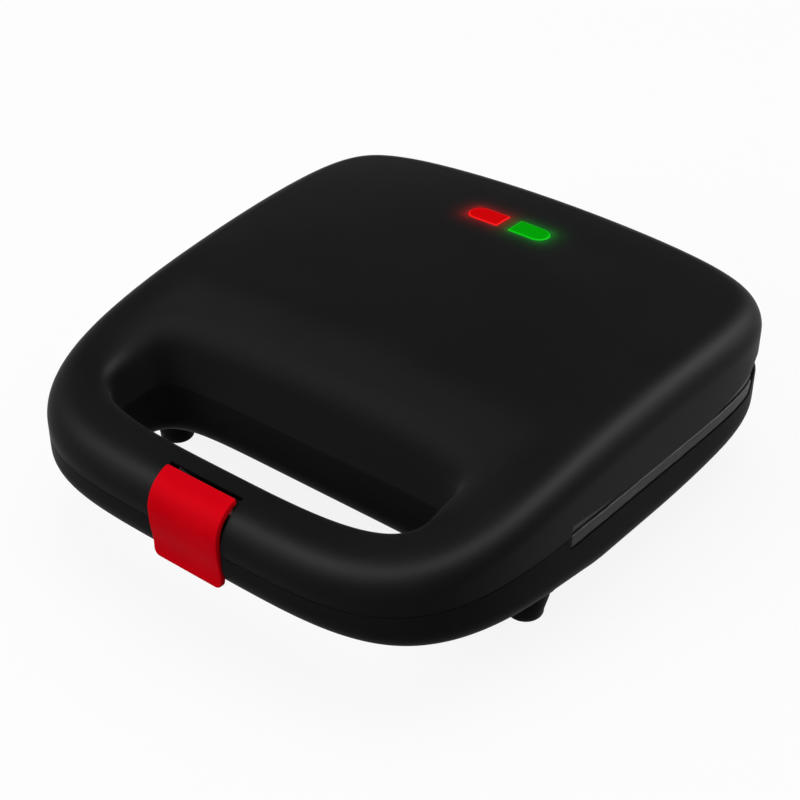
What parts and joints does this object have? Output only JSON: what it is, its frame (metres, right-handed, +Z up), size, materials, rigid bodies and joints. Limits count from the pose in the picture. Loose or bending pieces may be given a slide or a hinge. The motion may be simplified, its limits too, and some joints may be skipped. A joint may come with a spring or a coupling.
{
  "type": "donut maker",
  "caption": "Clamshell countertop appliance: dark housing with rounded lid, loop handle, front latch and indicator lenses, holding hinged plates with ring shaped moulds.",
  "frame": {"origin": "on the floor under the middle of the closed appliance's bounding box", "axes": "+X along the hinge to the right seen from the handle, +Y towards the hinge, +Z up"},
  "size_m": [0.2358, 0.2588, 0.0894],
  "materials": {
    "housing": "satin black moulded plastic",
    "latch_red": "satin red moulded plastic",
    "plate_coat": "dark non-stick coating on cast aluminium",
    "lens_red": "translucent red",
    "lens_green": "translucent green",
    "lamp_glass": "clear",
    "fixings": "zinc plated",
    "heater_steel": "oxidised",
    "reflector_sheet": "bright rolled",
    "ceramic": "off-white",
    "foot_rubber": "matt",
    "bush_rubber": "matt"
  },
  "bodies": {
    "base": {"base_shell": "housing", "base_handle_cover": "housing", "base_handle_screws": "fixings", "lower_plate": "plate_coat", "lower_plate_screws": "fixings", "lower_heater": "heater_steel", "lower_reflector": "reflector_sheet", "foot_pads": "foot_rubber", "hinge_pins": "fixings", "terminal_block": "ceramic", "cord_bush": "bush_rubber"},
    "lid": {"lid_shell": "housing", "lid_handle_cover": "housing", "lid_handle_screws": "fixings", "upper_plate": "plate_coat", "upper_plate_screws": "fixings", "upper_heater": "heater_steel", "upper_reflector": "reflector_sheet", "red_lens": "lens_red", "green_lens": "lens_green", "red_lamp": "lamp_glass", "green_lamp": "lamp_glass", "lamp_holder": "ceramic", "lamp_holder_screws": "fixings", "thermostat": "ceramic", "thermal_fuse": "ceramic", "latch_pin": "fixings"},
    "latch": {"latch": "latch_red"}
  },
  "joints": [
    {"name": "lid_hinge", "type": "hinge", "parent": "base", "child": "lid", "pos_m": [0, 0.12405, 0.0464], "axis": [-1, 0, 0], "range_deg": [0, 105]},
    {"name": "latch_pivot", "type": "hinge", "parent": "lid", "child": "latch", "pos_m": [0, -0.11925, 0.06028], "axis": [-1, 0, 0], "range_deg": [0, 18]}
  ]
}
